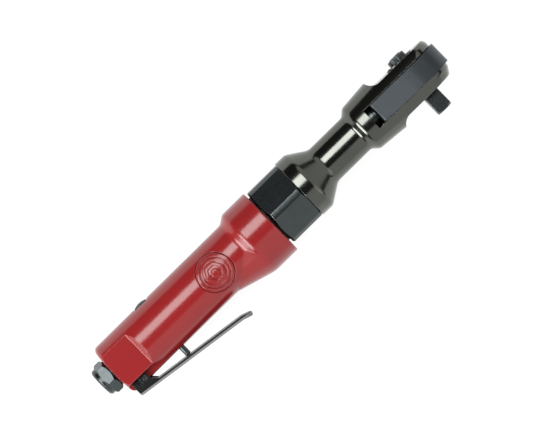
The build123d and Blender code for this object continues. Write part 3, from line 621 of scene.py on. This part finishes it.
@dataclass(frozen=True)
class Datum:
    """Where the tool lies: its axis, and the station of its inlet end."""

    inlet: float
    axis_y: float
    axis_z: float

    def at(self, station: float, y: float, z: float) -> Vector:
        """Place a point given in millimetres from the inlet end and the axis.

        Args:
            station: Distance from the inlet end along the tool.
            y: Distance from the axis towards the knob side.
            z: Distance from the axis upwards.

        Returns:
            The point in metres.
        """
        return Vector((self.inlet + station * MM, self.axis_y + y * MM, self.axis_z + z * MM))


Ring = list[Vector]


def spun(profile: Ring, centre: Vector, axis: Vector = Vector((1.0, 0.0, 0.0)), steps: int = 96,
         turns: int = 1, rise: float = 0.0, closed: bool = True) -> bmesh.types.BMesh:
    """Spin a profile about a line, with a steady rise along it for a helix.

    Args:
        profile: The profile's points.
        centre: A point on the line.
        axis: The line's direction.
        steps: Steps in each turn.
        turns: Whole turns.
        rise: Rise in each turn, in metres.
        closed: True to join the profile's ends.

    Returns:
        The shape.
    """
    shape = bmesh.new()
    corners = [shape.verts.new(point) for point in profile]
    edges = [shape.edges.new((corners[i - 1], corners[i])) for i in range(0 if closed else 1, len(corners))]
    bmesh.ops.spin(shape, geom=corners + edges, cent=centre, axis=axis, dvec=axis * (rise / steps),
                   angle=2 * math.pi * turns, steps=steps * turns, use_merge=rise == 0.0, use_duplicate=False)
    return shape


def wire(path: Ring, radius: float, sides: int = 6) -> bmesh.types.BMesh:
    """Round wire drawn along a path.

    Args:
        path: The points of the wire's middle.
        radius: The wire's radius in metres.
        sides: Sides of its section.

    Returns:
        The shape.
    """
    shape = bmesh.new()
    turn = (path[-1] - path[0]).to_track_quat("Z", "Y").to_matrix().to_4x4()
    bmesh.ops.create_circle(shape, cap_ends=True, segments=sides, radius=radius,
                            matrix=Matrix.Translation(path[0]) @ turn)
    cap = tip = list(shape.faces)
    for start, end in zip(path, path[1:]):
        grown = bmesh.ops.extrude_face_region(shape, geom=tip)["geom"]
        if tip is not cap:
            bmesh.ops.delete(shape, geom=tip, context="FACES_ONLY")
        tip = [item for item in grown if isinstance(item, bmesh.types.BMFace)]
        bmesh.ops.translate(shape, vec=end - start, verts=tip[0].verts)
    return shape


def gathered(shapes: list[bmesh.types.BMesh]) -> bmesh.types.BMesh:
    """Put several shapes in one.

    Args:
        shapes: The shapes, which are freed.

    Returns:
        The whole.
    """
    whole = bmesh.new()
    for shape in shapes:
        mesh = bpy.data.meshes.new("part")
        shape.to_mesh(mesh)
        shape.free()
        whole.from_mesh(mesh)
        bpy.data.meshes.remove(mesh)
    return whole


@dataclass
class Maker:
    """Turns shapes into finished pieces that ride on a body."""

    finishes: dict[str, bpy.types.Material]

    def piece(self, name: str, shape: bmesh.types.BMesh, body: str, slot: str) -> bpy.types.Object:
        """Make a piece.

        Args:
            name: The piece's name.
            shape: Its shape, in the row frame, which is freed.
            body: The CAD body it moves with.
            slot: The record's material slot of its finish.

        Returns:
            The piece.
        """
        bmesh.ops.remove_doubles(shape, verts=shape.verts, dist=WELD)
        bmesh.ops.recalc_face_normals(shape, faces=shape.faces)
        mesh = bpy.data.meshes.new(name)
        shape.to_mesh(mesh)
        shape.free()
        mesh.materials.append(self.finishes[slot])
        piece = bpy.data.objects.new(name, mesh)
        bpy.context.collection.objects.link(piece)
        mesh.shade_smooth()
        mesh.set_sharp_from_angle(angle=math.radians(SHARP_ANGLE))
        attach(piece, body)
        LOG.info("made %s in %s, on body %s", name, slot, body)
        return piece


@dataclass
class InletDetail:
    """Pipe thread inside the inlet, and the woven screen behind it."""

    datum: Datum
    maker: Maker
    bore: float = 5.6
    thread_height: float = 0.55
    thread_pitch: float = 1.41
    thread_start: float = 1.2
    thread_turns: int = 7
    screen_radius: float = 4.85
    screen_station: float = 12.6
    mesh_pitch: float = 0.6
    mesh_wire: float = 0.11

    def thread(self) -> None:
        """Internal thread, as a ridge on a helix that fades out at both ends."""
        middle = self.datum.at(0, 0, 0)
        half, sunk, inset = 0.46, 0.1, 0.02
        wall, tooth = self.bore + sunk, self.bore - self.thread_height
        corners = ((-half, wall), (0.0, tooth), (half, wall))
        profile = [self.datum.at(self.thread_start + along * self.thread_pitch, reach, 0)
                   for along, reach in corners]
        shape = spun(profile, middle, steps=48, turns=self.thread_turns, rise=self.thread_pitch * MM)
        bmesh.ops.holes_fill(shape, edges=shape.edges, sides=0)
        for vert in shape.verts:
            out = Vector((0.0, vert.co.y - middle.y, vert.co.z - middle.z))
            turn = ((vert.co.x - middle.x) / MM - self.thread_start) / self.thread_pitch
            if out.length < self.bore * MM:
                fade = max(0.0, min(1.0, turn, self.thread_turns - turn))
                crest = (self.bore - inset - self.thread_height * fade) * MM
                vert.co += out * (crest / out.length - 1)
        self.maker.piece("inlet_thread", shape, "housing", "dark_steel")

    def strand(self, place: float, number: int, upright: bool) -> bmesh.types.BMesh:
        """One strand of the woven screen.

        Args:
            place: Its distance from the middle in millimetres.
            number: Its number, which sets where it dips.
            upright: True for a strand along Y, False along Z.

        Returns:
            The strand.
        """
        half = math.sqrt(self.screen_radius ** 2 - place ** 2)
        fewest, steps_per_pitch = 4, 8
        count = max(fewest, int(half / self.mesh_pitch * steps_per_pitch))
        path = []
        for i in range(count + 1):
            run = -half + 2 * half * i / count
            phase = math.pi * (run / self.mesh_pitch + number) + (math.pi if upright else 0.0)
            dip = self.screen_station + self.mesh_wire * math.cos(phase)
            path.append(self.datum.at(dip, run, place) if upright else self.datum.at(dip, place, run))
        return wire(path, self.mesh_wire * MM)

    def screen(self) -> None:
        """Woven brass screen in a folded rim."""
        reach = int(self.screen_radius / self.mesh_pitch)
        strands = [self.strand(k * self.mesh_pitch, k, upright) for upright in (True, False)
                   for k in range(-reach, reach + 1)]
        outer, inner, half = 4.98, 4.4, 0.28
        corners = ((-half, inner), (-half, outer), (half, outer), (half, inner))
        rim = spun([self.datum.at(self.screen_station + x, r, 0) for x, r in corners], self.datum.at(0, 0, 0))
        piece = self.maker.piece("inlet_mesh", gathered([*strands, rim]), "housing", "brass")
        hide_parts("inlet_screen")

    def build(self) -> None:
        """Make the thread and the screen."""
        self.thread()
        self.screen()


@dataclass
class HousingDetail:
    """Raised badge on the barrel, and the thread that shows behind the clamp nut."""

    datum: Datum
    maker: Maker
    barrel: float = 16.6
    badge_station: float = 88.4
    badge_y: float = 0.4
    badge_radius: float = 11.15
    badge_floor: float = 16.5
    badge_wall: float = 0.3
    nut_station: float = 130.8
    gap: float = 0.98

    def badge_height(self, reach: float, angle: float) -> float:
        """Height of the badge's face above its floor.

        Args:
            reach: Distance from the badge's middle in millimetres.
            angle: Direction from its middle in radians.

        Returns:
            The height in millimetres.
        """
        flat = reach * math.cos((angle % (math.pi / 3)) - math.pi / 6)
        outer_ring = (reach, 9.75, 0.65, 0.42)
        inner_ring = (reach, 7.55, 0.38, 0.26)
        hexagon = (flat, 4.6, 0.55, 0.40)
        hub = (reach, 0.0, 2.0, 0.42)
        slope, rim, sunk = 0.45, 0.35, 0.45
        height = 0.0
        for place, middle, half, rise in (outer_ring, inner_ring, hexagon, hub):
            edge = min(1.0, max(0.0, (half + slope - abs(place - middle)) / slope))
            height = max(height, rise * edge * edge * (3 - 2 * edge))
        border = min(1.0, max(0.0, (self.badge_radius - reach) / rim))
        return height * border - sunk * (1 - border)

    def badge(self) -> None:
        """Cast badge of rings and a hexagon, wrapped on the barrel."""
        rows, columns = 96, 168
        middle = self.datum.at(self.badge_station, self.badge_y, 0)
        spoke = [self.datum.at(self.badge_station + self.badge_radius * i / rows, self.badge_y, 0)
                 for i in range(rows + 1)]
        shape = spun(spoke, middle, axis=Vector((0.0, 0.0, 1.0)), steps=columns, closed=False)
        for vert in shape.verts:
            x, y = (vert.co.x - middle.x) / MM, (vert.co.y - middle.y) / MM
            radius = self.badge_floor + self.badge_height(math.hypot(x, y), math.atan2(y, x))
            vert.co.z = middle.z + MM * math.sqrt(radius ** 2 - (y + self.badge_y) ** 2)
        bmesh.ops.remove_doubles(shape, verts=shape.verts, dist=WELD)
        bmesh.ops.recalc_face_normals(shape, faces=shape.faces)
        bmesh.ops.solidify(shape, geom=shape.faces, thickness=self.badge_wall * MM)
        self.maker.piece("badge", shape, "housing", "red_enamel")

    def nose_thread(self) -> None:
        """Dark threaded sleeve in the gap behind the clamp nut."""
        inner, root, crest, teeth = 15.5, 15.75, 16.2, 2
        start = self.nut_station - self.gap
        points = [(start, inner)]
        for i in range(teeth):
            points += [(start + self.gap * i / teeth, root), (start + self.gap * (i + 0.5) / teeth, crest)]
        points += [(start + self.gap, root), (start + self.gap, inner)]
        profile = [self.datum.at(x, r, 0) for x, r in points]
        shape = spun(profile, self.datum.at(0, 0, 0), steps=144)
        self.maker.piece("nose_thread", shape, "housing", "dark_steel")

    def build(self) -> None:
        """Make the badge and the thread."""
        self.badge()
        self.nose_thread()


@dataclass
class HeadDetail:
    """Pointer on the reverse knob and the two direction marks beside it."""

    datum: Datum
    maker: Maker
    drive_station: float = 242.1
    knob_top: float = 15.3
    boss_top: float = 12.3

    def pointer(self) -> None:
        """Raised bar across the knob's face."""
        length, width, rise, edge = 7.2, 1.5, 0.45, 0.2
        bar = bmesh.new()
        bmesh.ops.create_cube(bar, size=1.0)
        bmesh.ops.scale(bar, vec=Vector((length, 2 * rise, width)) * MM, verts=bar.verts)
        bmesh.ops.bevel(bar, geom=list(bar.edges), offset=edge * MM, offset_type="OFFSET", affect="EDGES",
                        segments=2, profile=0.5, material=-1)
        bmesh.ops.translate(bar, vec=self.datum.at(self.drive_station, self.knob_top, 0), verts=bar.verts)
        self.maker.piece("knob_pointer", bar, "selector", "dark_steel")

    def marks(self) -> None:
        """Two small raised arrowheads on the boss, one for each direction."""
        reach, spread, size, rise, root, taper = 7.2, 2.0, 0.95, 0.18, 0.1, 0.75
        station, middle = self.drive_station - reach, self.boss_top + (rise - root) / 2
        heads = []
        for side in (-1, 1):
            place = Matrix.Translation(self.datum.at(station, middle, side * spread))
            outward = Matrix(((-side, 0, 0), (0, 0, 1), (0, side, 0))).to_4x4()
            head = bmesh.new()
            bmesh.ops.create_cone(head, cap_ends=True, segments=3, radius1=size * MM,
                                  radius2=taper * size * MM, depth=(rise + root) * MM,
                                  matrix=place @ outward)
            heads.append(head)
        self.maker.piece("direction_marks", gathered(heads), "housing", "black_oxide")

    def build(self) -> None:
        """Make the pointer and the marks."""
        self.pointer()
        self.marks()


def main() -> None:
    """Load the frame, dress the CAD model, add the fine detail, and set up the studio."""
    logging.basicConfig(level=logging.INFO)
    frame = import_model()
    kit = GroupKit()
    finishes = {finish.name: finish.build(kit) for finish in FINISHES}
    CadDress(frame, finishes).build()
    inlet_low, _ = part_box("inlet_bushing")
    nut_low, nut_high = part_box("clamp_nut")
    middle = (nut_low + nut_high) / 2
    datum = Datum(inlet=inlet_low.x, axis_y=middle.y, axis_z=middle.z)
    maker = Maker(finishes)
    for detail in (InletDetail, HousingDetail, HeadDetail):
        detail(datum, maker).build()
    Studio(middle=Vector((0.0, middle.y, middle.z)), axis_height=middle.z).build()


if __name__ == "__main__":
    main()
